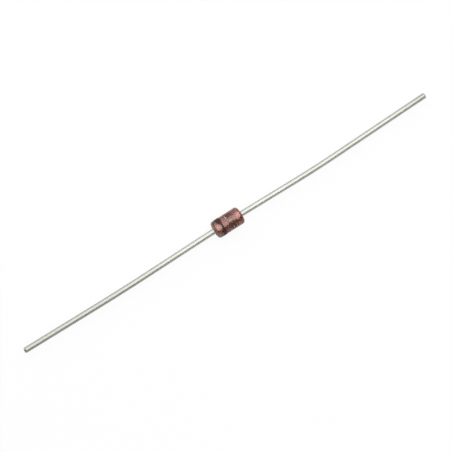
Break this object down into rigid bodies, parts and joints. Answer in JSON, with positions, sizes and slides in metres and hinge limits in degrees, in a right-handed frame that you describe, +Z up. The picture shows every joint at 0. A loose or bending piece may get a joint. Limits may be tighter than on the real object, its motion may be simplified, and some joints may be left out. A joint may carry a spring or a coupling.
{
  "type": "zener diode",
  "caption": "Zener diode in a small glass case with straight-out wire leads: a chip pressed between copper-red slugs in clear glass, with a dark band at the cathode end.",
  "frame": {"origin": "on the surface that the diode lies on, straight below the middle of its glass body", "axes": "+X along the lead axis towards the anode lead, +Z up; the cathode band is on the -X side"},
  "size_m": [0.0622, 0.0024, 0.0024],
  "materials": {
    "glass": "clear high-lead sealing glass, fire-polished at the ends",
    "slug": "copper-clad slug with the red oxide skin that the glass bonds to",
    "silicon": "sawn silicon chip",
    "silver": "plated silver bump",
    "tinned_wire": "matt tin plating on drawn wire",
    "ink": "baked marking ink"
  },
  "bodies": {
    "root": {"glass_sleeve": "glass", "cathode_slug": "slug", "anode_slug": "slug", "zener_chip": "silicon", "anode_bump": "silver", "cathode_lead": "tinned_wire", "anode_lead": "tinned_wire", "cathode_band": "ink"}
  },
  "joints": []
}
